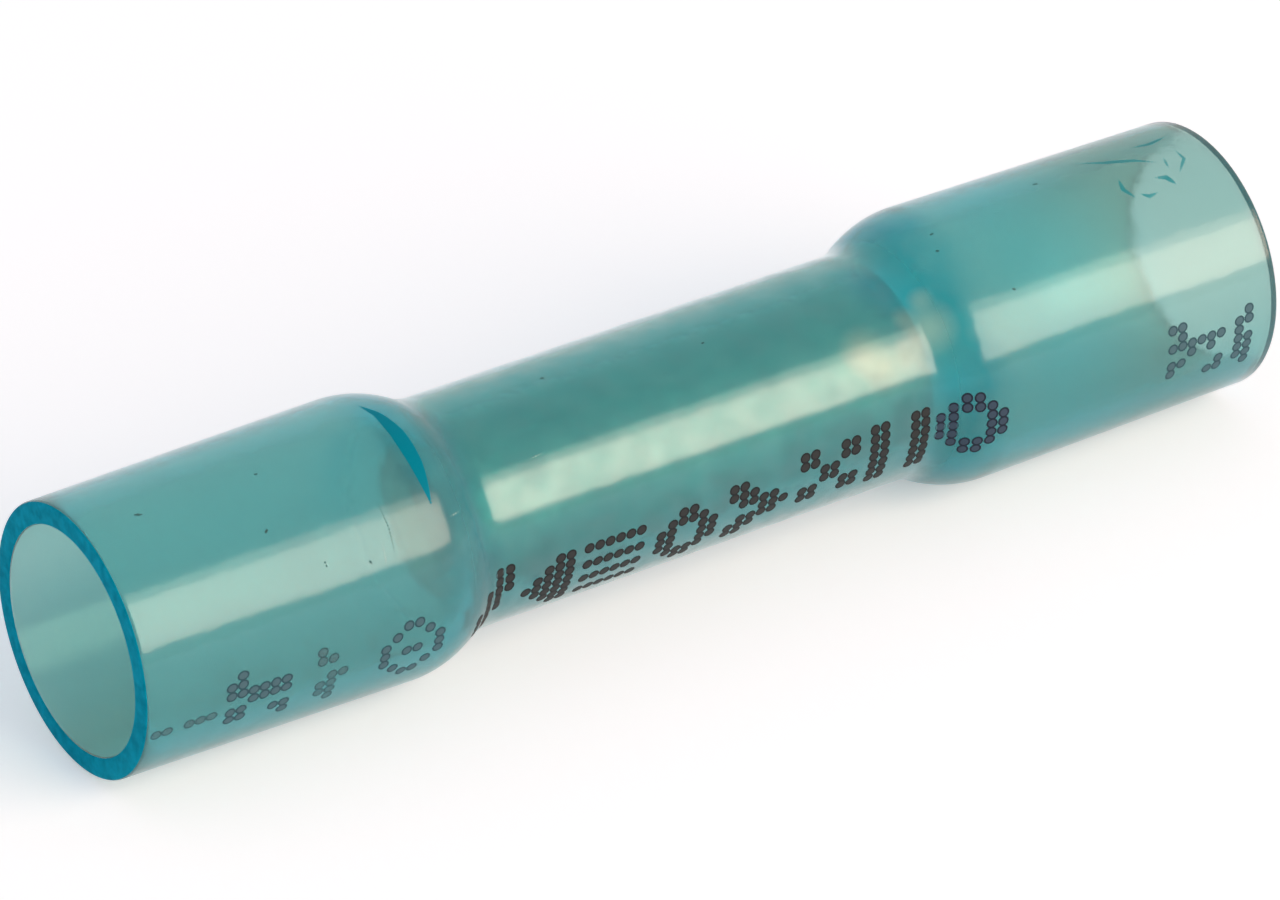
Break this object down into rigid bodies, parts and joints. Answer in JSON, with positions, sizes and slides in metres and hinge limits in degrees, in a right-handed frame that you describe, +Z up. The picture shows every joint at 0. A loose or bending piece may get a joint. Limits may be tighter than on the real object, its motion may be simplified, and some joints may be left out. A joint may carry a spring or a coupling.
{
  "type": "butt splice connector",
  "caption": "Heat-shrink crimp splice: a translucent blue nylon sleeve with open bell ends, shrunk at its waist over a tinned copper barrel that joins two wires end to end.",
  "frame": {"origin": "middle of the splice's length and width, on the surface that it lies on", "axes": "+X along the sleeve and barrel from one open end to the other, +Z up, +Y across"},
  "size_m": [0.0318, 0.0068, 0.0069],
  "materials": {
    "nylon_sleeve": "translucent teal blue nylon, satin, smooth",
    "tinned_barrel": "tin-plated copper, satin silver grey"
  },
  "bodies": {
    "root": {"heat_shrink_sleeve": "nylon_sleeve", "crimp_barrel": "tinned_barrel"}
  },
  "joints": []
}
